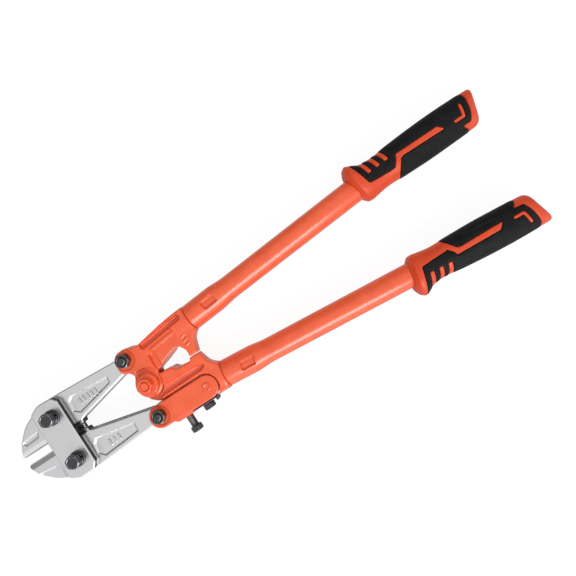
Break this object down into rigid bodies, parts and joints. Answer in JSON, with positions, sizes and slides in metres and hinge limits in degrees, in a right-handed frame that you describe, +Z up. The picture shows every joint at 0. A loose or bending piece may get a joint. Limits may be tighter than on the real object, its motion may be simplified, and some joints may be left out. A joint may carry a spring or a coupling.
{
  "type": "bolt cutters",
  "caption": "Hand bolt cutters with strapped forged jaws, lever forgings on tubular handles and two-colour soft grips",
  "frame": {"origin": "middle of the underside of the tool lying flat, on the level of the jaw nuts and grip collars", "axes": "+X along the tool from the jaws to the grips, +Y across it towards the upper handle, +Z up through its thickness"},
  "size_m": [0.3526, 0.0908, 0.027],
  "materials": {
    "orange_paint": "satin powder coat",
    "bare_steel": "fine satin, plated",
    "black_fasteners": "black oxide",
    "grip_plastic": "satin moulded",
    "grip_rubber": "matt soft touch"
  },
  "bodies": {
    "lower_handle": {"lower_forging": "orange_paint", "lower_tube": "orange_paint", "lower_grip_core": "grip_plastic", "lower_grip_cover": "grip_rubber", "link_rivet": "orange_paint", "pivot_bolt": "orange_paint", "pivot_nut": "orange_paint"},
    "adjusting_link": {"adjusting_link": "orange_paint", "lower_tail_bolt": "black_fasteners", "lower_tail_nut": "black_fasteners", "lock_plate": "black_fasteners"},
    "front_screw": {"front_adjusting_screw": "black_fasteners"},
    "rear_screw": {"rear_adjusting_screw": "black_fasteners"},
    "upper_handle": {"upper_forging": "orange_paint", "upper_tube": "orange_paint", "upper_grip_core": "grip_plastic", "upper_grip_cover": "grip_rubber", "upper_tail_bolt": "black_fasteners", "upper_tail_nut": "black_fasteners"},
    "upper_jaw": {"upper_jaw": "bare_steel"},
    "straps": {"front_strap": "bare_steel", "rear_strap": "bare_steel", "upper_jaw_bolt": "black_fasteners", "upper_jaw_flat_washer": "black_fasteners", "upper_jaw_spring_washer": "black_fasteners", "upper_jaw_nut": "black_fasteners", "lower_jaw_bolt": "black_fasteners", "lower_jaw_flat_washer": "black_fasteners", "lower_jaw_spring_washer": "black_fasteners", "lower_jaw_nut": "black_fasteners"},
    "lower_jaw": {"lower_jaw": "bare_steel"}
  },
  "joints": [
    {"name": "handle_open", "type": "hinge", "parent": "lower_handle", "child": "upper_handle", "pos_m": [-0.07908, 0, 0.0124], "axis": [0, 0, 1], "range_deg": [-0.7, 70]},
    {"name": "upper_jaw_swing", "type": "hinge", "parent": "upper_handle", "child": "upper_jaw", "pos_m": [-0.08338, 0.02, 0.0124], "axis": [0, 0, 1], "range_deg": [-40.6, 0.6]},
    {"name": "strap_swing", "type": "hinge", "parent": "upper_jaw", "child": "straps", "pos_m": [-0.14208, 0.0149, 0.0124], "axis": [0, 0, 1], "range_deg": [-0.2, 5.6]},
    {"name": "lower_jaw_swing", "type": "hinge", "parent": "straps", "child": "lower_jaw", "pos_m": [-0.14208, -0.0149, 0.0124], "axis": [0, 0, 1], "range_deg": [-0.2, 5.6]},
    {"name": "link_swing", "type": "hinge", "parent": "lower_handle", "child": "adjusting_link", "pos_m": [-0.04948, -0.0207, 0.0124], "axis": [0, 0, 1], "range_deg": [-0.5, 0.5]},
    {"name": "front_screw_travel", "type": "slide", "parent": "adjusting_link", "child": "front_screw", "axis": [0, 1, 0], "range_m": [-0.0002, 0.0002]},
    {"name": "rear_screw_travel", "type": "slide", "parent": "adjusting_link", "child": "rear_screw", "axis": [0, 1, 0], "range_m": [-0.0001, 0.0001]}
  ],
  "couplings": [
    {"joint": "upper_jaw_swing", "follows": "handle_open", "ratio": -0.5767},
    {"joint": "strap_swing", "follows": "handle_open", "ratio": 0.0767},
    {"joint": "lower_jaw_swing", "follows": "handle_open", "ratio": 0.0767},
    {"joint": "front_screw_travel", "follows": "link_swing", "m_per_rad": 0.0212},
    {"joint": "rear_screw_travel", "follows": "link_swing", "m_per_rad": 0.0068}
  ]
}
